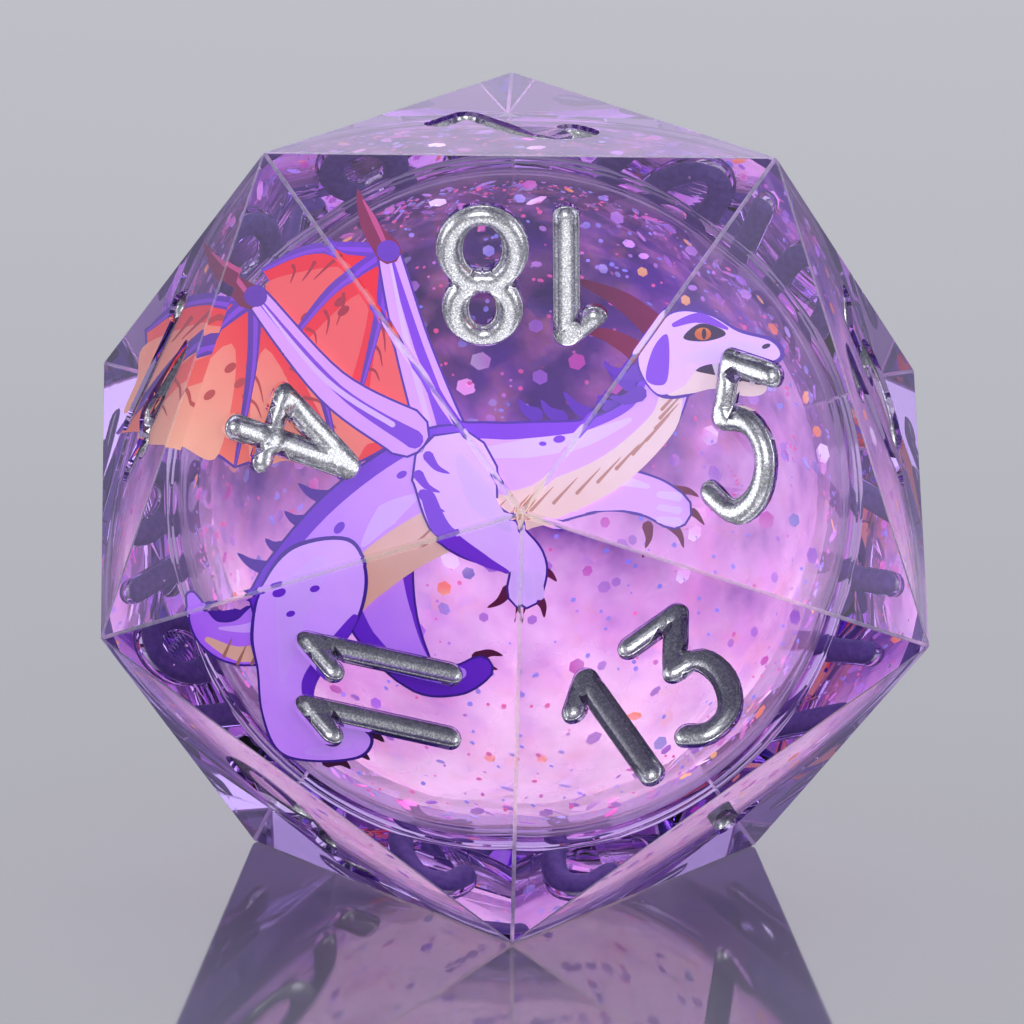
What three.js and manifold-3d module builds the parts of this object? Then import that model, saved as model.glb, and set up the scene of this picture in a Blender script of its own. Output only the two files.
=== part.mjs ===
// Twenty-sided polyhedral die with a liquid core, in millimetres, +Z up.
// It stands on its 19 face, the origin is at the centre of that face, and the front corner points to -Y.
import * as THREE from "three";
import { mergeVertices } from "three/addons/utils/BufferGeometryUtils.js";
import Module from "manifold-3d";

// Outer solid
const FACE_TO_FACE = 33;
const PHI = (1 + Math.sqrt(5)) / 2;
const IN_R = FACE_TO_FACE / 2;
const EDGE = (Math.sqrt(3) * FACE_TO_FACE) / PHI ** 2;
const CORNER_R = EDGE * Math.sin((2 * Math.PI) / 5);
const CAP_R = EDGE / Math.sqrt(3);
const BELT_R = CAP_R * PHI;
const BELT_Z = Math.sqrt(CORNER_R ** 2 - BELT_R ** 2);

// Two pours of resin with a folded foil picture between them
const SKIN = 0.95;
const INNER_CAST_R = 15.05;
const FOIL_THICK = 0.08;
const FOIL_LAYERS = { back: 15.14, middle: 15.28, front: 15.42 };

// Ball that holds the liquid
const SHELL_OUT_R = 12.4;
const SHELL_IN_R = 11.9;
const SHELL_LAP_R = 12.15;
const SHELL_LAP = 1;
const CAVITY_R = 12.6;
const LIQUID_R = 11.3;
const AROUND = 20;
const RINGS = 6;
const FIT = 0.05;

// Channel from the back corner to the ball, and its plugs
const PLUG_R = 2;
const PLUG_START = 12.75;
const FILL_PLUG_R = 0.9;
const ROUND = 20;

// Numerals: engraved strokes with round ends, filled with paint
const DIGIT_H = 6.4;
const STROKE_R = 0.58;
const GROOVE_DEPTH = 0.65;
const PAINT_GAP = 0.03;
const PAINT_SUNK = 0.12;
const DIGIT_GAP = 0.8;
const MARK_DROP = 1.4;
const OVERCUT = 0.3;
const END_STEPS = 4;
const CURVE_STEPS = 7;

// Glitter flakes in the gap between the liquid and the ball
const FLAKE_COUNT = 10;
const FLAKE_R = 0.5;
const FLAKE_THICK = 0.1;
const FLAKE_AT_R = 11.5;
const GOLDEN_ANGLE = Math.PI * (3 - Math.sqrt(5));

// The picture reaches back on the side faces to this distance behind the centre
const FOIL_REACH = 3;
const FOIL_STEPS = 8;

const wasm = await Module();
wasm.setup();

const degrees = THREE.MathUtils.degToRad;

function corner(azimuth, radius, z) {
  const a = degrees(azimuth);
  return new THREE.Vector3(radius * Math.cos(a), radius * Math.sin(a), z);
}

// V is the front corner and W the one behind it.
const CORNERS = {
  A: corner(210, CAP_R, IN_R),
  B: corner(330, CAP_R, IN_R),
  T: corner(90, CAP_R, IN_R),
  V: corner(270, BELT_R, BELT_Z),
  F: corner(30, BELT_R, BELT_Z),
  G: corner(150, BELT_R, BELT_Z),
  C: corner(330, BELT_R, -BELT_Z),
  E: corner(210, BELT_R, -BELT_Z),
  W: corner(90, BELT_R, -BELT_Z),
  D: corner(270, CAP_R, -IN_R),
  H: corner(30, CAP_R, -IN_R),
  I: corner(150, CAP_R, -IN_R),
};

// Each face's number and corners; the top of the numeral points to the first corner.
const FACES = [
  ["18", "VAB"],
  ["5", "BCV"],
  ["13", "VCD"],
  ["11", "EVD"],
  ["4", "VEA"],
  ["2", "BAT"],
  ["15", "BCF"],
  ["1", "HCD"],
  ["9", "EDI"],
  ["14", "AEG"],
  ["12", "TBF"],
  ["20", "TAG"],
  ["6", "GEI"],
  ["19", "DIH"],
  ["7", "FCH"],
  ["3", "WHI"],
  ["16", "WIG"],
  ["8", "WGT"],
  ["10", "WTF"],
  ["17", "WFH"],
];

const MATERIALS = {
  resin: { color: "#efeaf8", roughness: 0.04, metalness: 0, transparent: true, opacity: 0.3 },
  shell: { color: "#f4e6fa", roughness: 0.08, metalness: 0, transparent: true, opacity: 0.4 },
  liquid: { color: "#d39ae6", roughness: 0.05, metalness: 0, transparent: true, opacity: 0.7 },
  paint: { color: "#b9bbc2", roughness: 0.35, metalness: 0.9 },
  flake: { color: "#ff5fc0", roughness: 0.2, metalness: 0.6 },
  foilBody: { color: "#a262ee", roughness: 0.45, metalness: 0 },
  foilLimb: { color: "#c49af2", roughness: 0.45, metalness: 0 },
  foilWing: { color: "#f0604e", roughness: 0.45, metalness: 0 },
};

function newMaterial(kind) {
  return new THREE.MeshStandardMaterial(MATERIALS[kind]);
}

function toSolid(geometry, matrix) {
  const plain = geometry.clone();
  plain.deleteAttribute("normal");
  plain.deleteAttribute("uv");
  if (matrix) {
    plain.applyMatrix4(matrix);
  }
  const merged = mergeVertices(plain);
  return new wasm.Manifold(
    new wasm.Mesh({
      numProp: 3,
      vertProperties: merged.attributes.position.array,
      triVerts: new Uint32Array(merged.index.array),
    }),
  );
}

function toGeometry(solid) {
  const made = solid.getMesh();
  const geometry = new THREE.BufferGeometry();
  geometry.setAttribute("position", new THREE.BufferAttribute(made.vertProperties, 3));
  geometry.setIndex(new THREE.BufferAttribute(made.triVerts, 1));
  return geometry;
}

// The shapes extruded along Z, joined, and then moved as one by the matrix.
function extruded(shapes, depth, matrix) {
  const settings = { depth, bevelEnabled: false, curveSegments: CURVE_STEPS };
  const parts = shapes.map((shape) => toSolid(new THREE.ExtrudeGeometry(shape, settings)));
  const whole = parts.reduce((sum, part) => sum.add(part));
  return toSolid(toGeometry(whole).applyMatrix4(matrix));
}

const die = new THREE.Group();
die.name = "liquid_core_d20";

// The solids are made round the centre of the die and lifted onto the ground here.
function addPiece(name, solid, kind) {
  const geometry = toGeometry(solid);
  geometry.computeVertexNormals();
  const mesh = new THREE.Mesh(geometry, newMaterial(kind));
  mesh.name = name;
  mesh.position.z = IN_R;
  die.add(mesh);
}

// A regular icosahedron with the given distance from its centre to its faces.
function icosahedron(inRadius) {
  const positions = [];
  for (const [, letters] of FACES) {
    const corners = [...letters].map((letter) => CORNERS[letter]);
    const side = corners[1].clone().sub(corners[0]);
    const other = corners[2].clone().sub(corners[0]);
    if (side.cross(other).dot(corners[0]) < 0) {
      corners.reverse();
    }
    for (const point of corners) {
      positions.push(...point.clone().multiplyScalar(inRadius / IN_R));
    }
  }
  const geometry = new THREE.BufferGeometry();
  geometry.setAttribute("position", new THREE.Float32BufferAttribute(positions, 3));
  return toSolid(geometry);
}

// Turns a shape's own Y axis to the given direction.
function along(direction, distance = 0) {
  const unit = direction.clone().normalize();
  const turn = new THREE.Quaternion().setFromUnitVectors(new THREE.Vector3(0, 1, 0), unit);
  const place = unit.multiplyScalar(distance);
  return new THREE.Matrix4().compose(place, turn, new THREE.Vector3(1, 1, 1));
}

function rod(radius, direction, from, to) {
  const geometry = new THREE.CylinderGeometry(radius, radius, to - from, ROUND);
  return toSolid(geometry, along(direction, (from + to) / 2));
}

function arcProfile(radius, from, to) {
  const points = [];
  for (let i = 0; i <= RINGS; i++) {
    const a = from + ((to - from) * i) / RINGS;
    points.push(new THREE.Vector2(Math.max(radius * Math.cos(a), 0), radius * Math.sin(a)));
  }
  return points;
}

// A solid turned round the axis from the back corner to the front corner.
function turned(points) {
  return toSolid(new THREE.LatheGeometry(points, AROUND), along(CORNERS.V));
}

function ball(radius) {
  const half = Math.PI / 2;
  return turned([...arcProfile(radius, -half, 0), ...arcProfile(radius, 0, half).slice(1)]);
}

// The front half's rim laps over a step on the rear half's rim.
function shellHalves() {
  const half = Math.PI / 2;
  const at = (radius, y) => new THREE.Vector2(Math.sqrt(radius ** 2 - y ** 2), y);
  const lapEnd = Math.asin((SHELL_LAP + FIT) / SHELL_OUT_R);
  const front = turned([
    ...arcProfile(SHELL_IN_R, half, 0),
    new THREE.Vector2(SHELL_LAP_R, 0),
    new THREE.Vector2(SHELL_LAP_R, -SHELL_LAP),
    at(SHELL_OUT_R, -SHELL_LAP),
    ...arcProfile(SHELL_OUT_R, 0, half),
  ]);
  const rear = turned([
    ...arcProfile(SHELL_OUT_R, -half, -lapEnd),
    new THREE.Vector2(SHELL_LAP_R - FIT, -SHELL_LAP - FIT),
    new THREE.Vector2(SHELL_LAP_R - FIT, -FIT),
    at(SHELL_IN_R, -FIT),
    ...arcProfile(SHELL_IN_R, -Math.asin(FIT / SHELL_IN_R), -half).slice(1),
  ]);
  return { front, rear };
}

// The outline of a stroke along the points, as wide as halfWidth says at each share of its length.
function strokeShape(points, halfWidth) {
  const last = points.length - 1;
  const left = [];
  const right = [];
  const headings = points.map((point, i) => {
    const from = points[Math.max(i - 1, 0)];
    const to = points[Math.min(i + 1, last)];
    return to.clone().sub(from).angle();
  });
  const cap = (i, start) => {
    const round = [];
    for (let k = 1; k < END_STEPS; k++) {
      const a = start - (Math.PI * k) / END_STEPS;
      const reach = new THREE.Vector2(Math.cos(a), Math.sin(a)).multiplyScalar(halfWidth(i / last));
      round.push(points[i].clone().add(reach));
    }
    return round;
  };
  points.forEach((point, i) => {
    const a = headings[i] + Math.PI / 2;
    const reach = new THREE.Vector2(Math.cos(a), Math.sin(a)).multiplyScalar(halfWidth(i / last));
    left.push(point.clone().add(reach));
    right.push(point.clone().sub(reach));
  });
  const end = cap(last, headings[last] + Math.PI / 2);
  const start = cap(0, headings[0] - Math.PI / 2);
  return new THREE.Shape([...left, ...end, ...right.reverse(), ...start]);
}

function vectors(pairs, scale) {
  return pairs.map(([x, y]) => new THREE.Vector2(x * scale, y * scale));
}

const line = (...pairs) => ({ pairs });
const curve = (...pairs) => ({ pairs, smooth: true });
const loop = (y, rx, ry) => ({ y, rx, ry });

const SIX = [loop(-0.2, 0.21, 0.3), curve([0.14, 0.5], [-0.08, 0.32], [-0.19, 0.05], [-0.21, -0.2])];
const NINE = [loop(0.2, 0.21, 0.3), curve([-0.14, -0.5], [0.08, -0.32], [0.19, -0.05], [0.21, 0.2])];

// The strokes of each digit in shares of its height, centred on 0, 0, and half its width.
const GLYPHS = {
  0: { half: 0.21, strokes: [loop(0, 0.21, 0.5)] },
  1: { half: 0.1, strokes: [line([0.07, -0.5], [0.07, 0.5]), line([0.07, 0.5], [-0.11, 0.33])] },
  2: {
    half: 0.21,
    strokes: [
      curve([-0.19, 0.3], [-0.11, 0.46], [0.04, 0.5], [0.18, 0.38], [0.17, 0.14], [0, -0.16], [-0.2, -0.5]),
      line([-0.2, -0.5], [0.21, -0.5]),
    ],
  },
  3: {
    half: 0.21,
    strokes: [
      line([-0.18, 0.5], [0.19, 0.5]),
      line([0.19, 0.5], [-0.03, 0.11]),
      curve([-0.03, 0.11], [0.15, 0.06], [0.21, -0.18], [0.12, -0.44], [-0.07, -0.5], [-0.21, -0.4]),
    ],
  },
  4: {
    half: 0.22,
    strokes: [
      line([0.08, 0.5], [-0.22, -0.2]),
      line([-0.22, -0.2], [0.23, -0.2]),
      line([0.08, 0.5], [0.08, -0.5]),
    ],
  },
  5: {
    half: 0.21,
    strokes: [
      line([-0.16, 0.5], [0.18, 0.5]),
      line([-0.16, 0.5], [-0.18, 0.1]),
      curve([-0.18, 0.1], [0.04, 0.13], [0.2, -0.04], [0.19, -0.32], [0.02, -0.5], [-0.2, -0.43]),
    ],
  },
  6: { half: 0.21, strokes: SIX },
  7: { half: 0.2, strokes: [line([-0.2, 0.5], [0.2, 0.5]), line([0.2, 0.5], [-0.06, -0.5])] },
  8: { half: 0.22, strokes: [loop(-0.22, 0.22, 0.28), loop(0.27, 0.18, 0.23)] },
  9: { half: 0.21, strokes: NINE },
  mark: { half: 0.2, strokes: [line([-0.16, 0], [0.16, 0])] },
};

function glyphShapes(glyph, radius) {
  return glyph.strokes.map((stroke) => {
    if (stroke.pairs) {
      const control = vectors(stroke.pairs, DIGIT_H);
      const points = stroke.smooth ? new THREE.SplineCurve(control).getPoints(CURVE_STEPS) : control;
      return strokeShape(points, () => radius);
    }
    const rx = stroke.rx * DIGIT_H;
    const ry = stroke.ry * DIGIT_H;
    const y = stroke.y * DIGIT_H;
    const ring = new THREE.Shape().absellipse(0, y, rx + radius, ry + radius, 0, 2 * Math.PI);
    ring.holes.push(new THREE.Path().absellipse(0, y, rx - radius, ry - radius, 0, 2 * Math.PI));
    return ring;
  });
}

// The glyph as one solid on a face, from the given floor to the given top, both measured from the centre.
function glyphSolid(glyph, radius, frame, offset, floor, top) {
  const place = frame.clone().multiply(new THREE.Matrix4().makeTranslation(offset.x, offset.y, floor));
  return extruded(glyphShapes(glyph, radius), top - floor, place);
}

// X to the numeral's right, Y to its top and Z out of the face, from the centre of the die.
function faceFrame(letters) {
  const corners = [...letters].map((letter) => CORNERS[letter]);
  const middle = corners.reduce((sum, point) => sum.add(point), new THREE.Vector3()).divideScalar(3);
  const normal = middle.clone().normalize();
  const up = corners[0].clone().sub(middle).normalize();
  const right = up.clone().cross(normal);
  return new THREE.Matrix4().makeBasis(right, up, normal);
}

// Where each glyph of a numeral goes on its face.
function layOut(number) {
  const digits = [...number];
  const halves = digits.map((digit) => GLYPHS[digit].half * DIGIT_H + STROKE_R);
  const total = 2 * halves.reduce((sum, half) => sum + half, 0) + DIGIT_GAP * (digits.length - 1);
  let x = -total / 2;
  const places = digits.map((digit, i) => {
    const centre = x + halves[i];
    x += 2 * halves[i] + DIGIT_GAP;
    return { name: `numeral_${number}_${i + 1}`, glyph: GLYPHS[digit], offset: { x: centre, y: 0 } };
  });
  if (number === "6" || number === "9") {
    const y = -DIGIT_H / 2 - MARK_DROP;
    places.push({ name: `numeral_${number}_mark`, glyph: GLYPHS.mark, offset: { x: 0, y } });
  }
  return places;
}

// Clear resin, poured in two stages, with the channel to the ball open at the back corner
const channel = rod(PLUG_R + FIT, CORNERS.W, SHELL_IN_R, CORNER_R + 1);
let outer = icosahedron(IN_R).subtract(icosahedron(IN_R - SKIN)).subtract(channel);
for (const [number, letters] of FACES) {
  const frame = faceFrame(letters);
  for (const { name, glyph, offset } of layOut(number)) {
    const floor = IN_R - GROOVE_DEPTH;
    outer = outer.subtract(glyphSolid(glyph, STROKE_R, frame, offset, floor, IN_R + OVERCUT));
    const paintTop = IN_R - PAINT_SUNK;
    const paint = glyphSolid(glyph, STROKE_R - PAINT_GAP, frame, offset, floor + PAINT_GAP, paintTop);
    addPiece(name, paint, "paint");
  }
}
addPiece("resin_outer", outer, "resin");
addPiece("resin_inner", icosahedron(INNER_CAST_R).subtract(ball(CAVITY_R)).subtract(channel), "resin");
addPiece("pour_plug", icosahedron(IN_R).intersect(rod(PLUG_R, CORNERS.W, PLUG_START, CORNER_R + 1)), "resin");

// Ball of two halves, its fill plug and the liquid
const { front, rear } = shellHalves();
const fillHole = rod(FILL_PLUG_R + FIT, CORNERS.W, SHELL_IN_R - 1, SHELL_OUT_R + 1);
addPiece("ball_shell_front", front, "shell");
addPiece("ball_shell_rear", rear.subtract(fillHole), "shell");
addPiece("ball_fill_plug", rod(FILL_PLUG_R, CORNERS.W, SHELL_IN_R, SHELL_OUT_R), "shell");
addPiece("liquid_fill", ball(LIQUID_R), "liquid");

for (let i = 0; i < FLAKE_COUNT; i++) {
  const y = 1 - (2 * i + 1) / FLAKE_COUNT;
  const ring = Math.sqrt(1 - y * y);
  const direction = new THREE.Vector3(ring * Math.cos(i * GOLDEN_ANGLE), y, ring * Math.sin(i * GOLDEN_ANGLE));
  const flake = new THREE.CylinderGeometry(FLAKE_R, FLAKE_R, FLAKE_THICK, 6);
  addPiece(`glitter_flake_${i + 1}`, toSolid(flake, along(direction, FLAKE_AT_R)), "flake");
}

// Folded foil picture of a winged beast, seen square on from in front of the front corner.
// Its outlines are in millimetres from the line through that corner, X to the right and Y up.
// A tapered stroke has a half-width at each of its points, and a web's scallops are quadratic bends.
const tapered = (points, widths) => ({ points, widths });
const PICTURE = [
  {
    name: "foil_torso",
    kind: "foilBody",
    layer: "middle",
    strokes: [
      tapered(
        [[6.2, 5.8], [5.4, 3.9], [3.2, 2.5], [0, 1.7], [-3.2, 1.2], [-6.6, -1], [-9.2, -4]],
        [1, 1.15, 1.35, 1.9, 2.4, 2.2, 2.1],
      ),
    ],
  },
  {
    name: "foil_tail",
    kind: "foilBody",
    layer: "back",
    strokes: [tapered([[-9.4, -4.6], [-11.6, -5.7], [-13, -5.4], [-13.8, -3.9]], [1.6, 1, 0.6, 0.2])],
  },
  {
    name: "foil_head",
    kind: "foilLimb",
    layer: "front",
    strokes: [
      tapered([[5.6, 6.3], [7.2, 6.9], [9.2, 6.5], [10.6, 6.1]], [1.5, 1.8, 1.1, 0.7]),
      tapered([[6, 7.7], [4.4, 9], [2.2, 9.9]], [0.6, 0.4, 0.1]),
    ],
  },
  {
    name: "foil_foreleg_near",
    kind: "foilLimb",
    layer: "front",
    strokes: [
      tapered([[-2.8, 1.3], [-2, -0.6], [-0.6, -1.6]], [1.7, 1.3, 0.9]),
      tapered([[-0.6, -1.6], [0.3, -2.3], [0.2, -3.6]], [0.9, 0.7, 0.5]),
    ],
  },
  {
    name: "foil_foreleg_far",
    kind: "foilLimb",
    layer: "back",
    strokes: [tapered([[1.4, 0.6], [3.8, 0.9], [5.6, 0.6], [6.6, -0.2]], [0.9, 0.9, 0.7, 0.5])],
  },
  {
    name: "foil_hindleg_near",
    kind: "foilLimb",
    layer: "front",
    strokes: [
      tapered([[-8.7, -2.8], [-8.9, -4.8], [-9.4, -6.8]], [1.9, 2.3, 1.1]),
      tapered([[-9.4, -6.8], [-9.9, -8.4], [-9.2, -9.9]], [1.1, 0.8, 0.65]),
      tapered([[-9.2, -9.9], [-7.8, -10.4], [-6.2, -10]], [0.65, 0.6, 0.45]),
    ],
  },
  {
    name: "foil_hindleg_far",
    kind: "foilLimb",
    layer: "back",
    strokes: [
      tapered([[-6, -3], [-5.3, -5.4], [-4, -7]], [1.5, 1.1, 0.7]),
      tapered([[-4, -7], [-2.6, -7.3], [-1.4, -6.7]], [0.7, 0.55, 0.4]),
    ],
  },
  {
    name: "foil_wing_near",
    kind: "foilWing",
    layer: "front",
    strokes: [tapered([[-4.9, 3.3], [-8, 5], [-11.2, 8.9]], [0.9, 0.7, 0.45])],
    web: {
      start: [-11.2, 8.9],
      scallops: [
        [-13.6, 8.7, -15, 6.6],
        [-14.7, 4.8, -16, 2.8],
        [-13.5, 3.4, -11.8, 1.7],
        [-9.4, 2.7, -7, 1.6],
        [-5.6, 2, -4.9, 3.3],
      ],
    },
  },
  {
    name: "foil_wing_far",
    kind: "foilWing",
    layer: "back",
    strokes: [tapered([[-3.4, 3.4], [-4.6, 7], [-5.6, 10.9]], [0.75, 0.6, 0.42])],
    web: {
      start: [-5.6, 10.9],
      scallops: [
        [-8.6, 11.9, -10.9, 10],
        [-9.8, 8.5, -10.1, 6.5],
        [-8, 6.4, -6.6, 4.2],
        [-5, 4.2, -3.4, 3.4],
      ],
    },
  },
];

function foilSolid({ strokes, web, layer }) {
  const out = CORNERS.V.clone().normalize();
  const right = new THREE.Vector3(1, 0, 0);
  const frame = new THREE.Matrix4().makeBasis(right, out.clone().cross(right), out);
  frame.setPosition(out.clone().multiplyScalar(-FOIL_REACH));
  const shapes = strokes.map(({ points, widths }) => {
    const path = new THREE.SplineCurve(vectors(points, 1)).getPoints(FOIL_STEPS);
    const width = (share) => {
      const at = share * (widths.length - 1);
      const low = Math.min(Math.floor(at), widths.length - 2);
      return THREE.MathUtils.lerp(widths[low], widths[low + 1], at - low);
    };
    return strokeShape(path, width);
  });
  if (web) {
    const skin = new THREE.Shape().moveTo(...web.start);
    web.scallops.forEach((bend) => skin.quadraticCurveTo(...bend));
    shapes.push(skin);
  }
  const low = FOIL_LAYERS[layer];
  const sheet = icosahedron(low + FOIL_THICK).subtract(icosahedron(low));
  return sheet.intersect(extruded(shapes, CORNER_R + FOIL_REACH, frame));
}

for (const piece of PICTURE) {
  addPiece(piece.name, foilSolid(piece), piece.kind);
}

export default die;
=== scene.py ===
"""Looks of the liquid-core die: clear resin, painted numerals, folded foil picture, ball and glitter."""
import math
import random

import bmesh
import bpy
from mathutils import Matrix, Vector, geometry, noise


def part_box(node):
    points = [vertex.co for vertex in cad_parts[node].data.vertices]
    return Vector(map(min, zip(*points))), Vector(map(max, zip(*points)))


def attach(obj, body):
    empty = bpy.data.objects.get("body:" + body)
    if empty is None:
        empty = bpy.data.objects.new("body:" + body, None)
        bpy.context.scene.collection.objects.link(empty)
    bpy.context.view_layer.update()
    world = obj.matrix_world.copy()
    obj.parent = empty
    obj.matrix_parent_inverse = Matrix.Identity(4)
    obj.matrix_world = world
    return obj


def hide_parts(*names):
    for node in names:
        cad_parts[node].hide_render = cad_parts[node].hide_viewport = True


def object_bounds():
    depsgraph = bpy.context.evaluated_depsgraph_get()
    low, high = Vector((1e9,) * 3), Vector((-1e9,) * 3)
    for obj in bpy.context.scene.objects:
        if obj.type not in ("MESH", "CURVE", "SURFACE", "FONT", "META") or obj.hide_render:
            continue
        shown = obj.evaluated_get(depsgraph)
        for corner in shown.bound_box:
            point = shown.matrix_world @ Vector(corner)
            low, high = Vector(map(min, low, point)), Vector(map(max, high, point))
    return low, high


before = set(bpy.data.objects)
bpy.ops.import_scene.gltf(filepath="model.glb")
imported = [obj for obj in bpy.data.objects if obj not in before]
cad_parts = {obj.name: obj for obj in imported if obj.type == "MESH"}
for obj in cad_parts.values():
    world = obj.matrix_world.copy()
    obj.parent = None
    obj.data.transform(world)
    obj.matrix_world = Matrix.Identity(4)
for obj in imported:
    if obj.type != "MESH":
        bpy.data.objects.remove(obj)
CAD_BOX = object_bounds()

MM = 0.001

# Driving sizes, in metres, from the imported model
FACE_TO_FACE = CAD_BOX[1].z - CAD_BOX[0].z
IN_R = FACE_TO_FACE / 2
CENTRE = Vector((0, 0, IN_R))
PHI = (1 + math.sqrt(5)) / 2
EDGE = math.sqrt(3) * FACE_TO_FACE / PHI**2
CORNER_R = EDGE * math.sin(2 * math.pi / 5)
CAP_R = EDGE / math.sqrt(3)
BELT_R = CAP_R * PHI
BELT_Z = math.sqrt(CORNER_R**2 - BELT_R**2)


def node_radius(name):
    """Half the width of a ball-shaped node."""
    low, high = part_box(name)
    return (high.x - low.x) / 2


SHELL_OUT_R = node_radius("ball_shell_front")
SHELL_THICK = 0.5 * MM
SHELL_IN_R = SHELL_OUT_R - SHELL_THICK
LIQUID_GAP = 0.12 * MM
LIQUID_R = SHELL_IN_R - LIQUID_GAP

REST_FACE = "19"
QUARTER = math.pi / 2

# Refraction of each piece against the one round it: resin in air, and the rest inside one another
RESIN_IOR = 1.52
SHELL_IOR = 0.985
LIQUID_IOR = 0.965
AIR_IOR = 0.66


def corner(azimuth, radius, z):
    a = math.radians(azimuth)
    return Vector((radius * math.cos(a), radius * math.sin(a), z))


# Corners from the centre of the die: V is the front one and W the one behind it.
CORNERS = {
    "A": corner(210, CAP_R, IN_R),
    "B": corner(330, CAP_R, IN_R),
    "T": corner(90, CAP_R, IN_R),
    "V": corner(270, BELT_R, BELT_Z),
    "F": corner(30, BELT_R, BELT_Z),
    "G": corner(150, BELT_R, BELT_Z),
    "C": corner(330, BELT_R, -BELT_Z),
    "E": corner(210, BELT_R, -BELT_Z),
    "W": corner(90, BELT_R, -BELT_Z),
    "D": corner(270, CAP_R, -IN_R),
    "H": corner(30, CAP_R, -IN_R),
    "I": corner(150, CAP_R, -IN_R),
}
FACES = {
    "18": "VAB", "5": "BCV", "13": "VCD", "11": "EVD", "4": "VEA",
    "2": "BAT", "15": "BCF", "1": "HCD", "9": "EDI", "14": "AEG",
    "12": "TBF", "20": "TAG", "6": "GEI", "19": "DIH", "7": "FCH",
    "3": "WHI", "16": "WIG", "8": "WGT", "10": "WTF", "17": "WFH",
}


# ---- helpers
def linear(hex_colour):
    """A node colour from a hex string such as a262ee."""
    parts = [int(hex_colour[i : i + 2], 16) / 255 for i in (0, 2, 4)]
    return (*[p / 12.92 if p <= 0.04045 else ((p + 0.055) / 1.055) ** 2.4 for p in parts], 1.0)


def circle(count, radius=1.0, height=0.0):
    """Points evenly spaced round a level circle."""
    turns = [math.tau * k / count for k in range(count)]
    return [Vector((radius * math.cos(a), radius * math.sin(a), height)) for a in turns]


def new_object(name, data):
    made = bpy.data.objects.new(name, data)
    bpy.context.scene.collection.objects.link(made)
    return made


def from_bmesh(name, bm, *materials, smooth=False):
    mesh = bpy.data.meshes.new(name)
    bmesh.ops.recalc_face_normals(bm, faces=bm.faces)
    for face in bm.faces:
        face.smooth = face.smooth or smooth
    bm.to_mesh(mesh)
    bm.free()
    for material in materials:
        mesh.materials.append(material)
    return new_object(name, mesh)


def stands_for(piece, body, slot, *nodes):
    """Puts a piece on its body and lets it stand for CAD nodes, which it hides; slot is not used."""
    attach(piece, body)
    if nodes:
        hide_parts(*nodes)


class Nodes:
    """The node tree of a material or of the world, with short calls to add and join nodes."""

    def __init__(self, owner):
        self.owner = bpy.data.materials.new(owner) if isinstance(owner, str) else owner
        self.owner.use_nodes = True
        self.tree = self.owner.node_tree
        self.tree.nodes.clear()

    def add(self, kind, **values):
        """Adds a node; each value is a setting, or an input's number, colour or link."""
        node = self.tree.nodes.new(kind)
        for key, value in values.items():
            if key in node.inputs:
                self.put(node.inputs[key], value)
            else:
                setattr(node, key, value)
        return node

    def put(self, socket, value):
        if isinstance(value, bpy.types.NodeSocket):
            self.tree.links.new(value, socket)
        else:
            socket.default_value = value

    def add_in_order(self, kind, *values, **settings):
        """The first output of a node whose inputs take the values in order."""
        node = self.add(kind, **settings)
        for socket, value in zip(node.inputs, values):
            self.put(socket, value)
        return node.outputs[0]

    def ramp(self, factor, stops):
        """A colour ramp: each stop is its position, and a hex colour or a grey level."""
        node = self.add("ShaderNodeValToRGB", Fac=factor)
        elements = node.color_ramp.elements
        while len(elements) < len(stops):
            elements.new(0.5)
        for element, (position, tone) in zip(elements, stops):
            element.position = position
            element.color = linear(tone) if isinstance(tone, str) else (tone, tone, tone, 1.0)
        return node.outputs["Color"]

    def mix(self, factor, first, second):
        return self.add_in_order("ShaderNodeMixShader", factor, first, second)

    def object_point(self):
        return self.add("ShaderNodeTexCoord").outputs["Object"]

    def noise(self, scale, detail=4.0, vector=None, roughness=0.5):
        return self.add(
            "ShaderNodeTexNoise", Scale=scale, Detail=detail, Roughness=roughness,
            Vector=vector or self.object_point(),
        ).outputs["Fac"]

    def cells(self, scale, point):
        return self.add("ShaderNodeTexVoronoi", Scale=scale, Vector=point).outputs["Color"]

    def along(self, point, way, start, end, low=0.0, high=1.0):
        """A value that runs from low to high between two distances from the centre along a direction."""
        dot = self.add("ShaderNodeVectorMath", operation="DOT_PRODUCT")
        self.put(dot.inputs[0], point)
        self.put(dot.inputs[1], way)
        zero = CENTRE.dot(way)
        limits = zero + start, zero + end, low, high
        return self.add_in_order("ShaderNodeMapRange", dot.outputs["Value"], *limits)

    def surface(self, colour, glow=0.0, **values):
        """An opaque surface, which also gives off a little of its own colour where it glows."""
        values["Base Color"] = colour
        if glow:
            values.update({"Emission Color": colour, "Emission Strength": glow})
        return self.add("ShaderNodeBsdfPrincipled", **values).outputs[0]

    def glass(self, ior, colour, roughness=0.0, **values):
        return self.add(
            "ShaderNodeBsdfGlass", IOR=ior, Color=linear(colour), Roughness=roughness, **values
        ).outputs[0]

    def bump(self, height, strength, distance):
        return self.add(
            "ShaderNodeBump", Height=height, Strength=strength, Distance=distance
        ).outputs["Normal"]

    def done(self, surface, kind="Material"):
        self.add(f"ShaderNodeOutput{kind}", Surface=surface)
        return self.owner


# ---- materials
# The haze's painted shading runs from violet at the top to pale at the bottom, over this far each side of the
# centre
HAZE_WAY = Vector((0.2, -0.1, -1)).normalized()
HAZE_REACH = 10 * MM
HAZE_DARKEST = -0.36
HAZE_PALEST = 0.2
HAZE_STOPS = ((0.16, "180848"), (0.32, "50268e"), (0.46, "deb8d8"), (0.6, "fff4f4"))
HAZE_MOTES = ((0.1, "8a7ae0"), (0.35, "f08ad0"), (0.55, "f6c0e8"), (0.8, "f0a090"))


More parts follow.
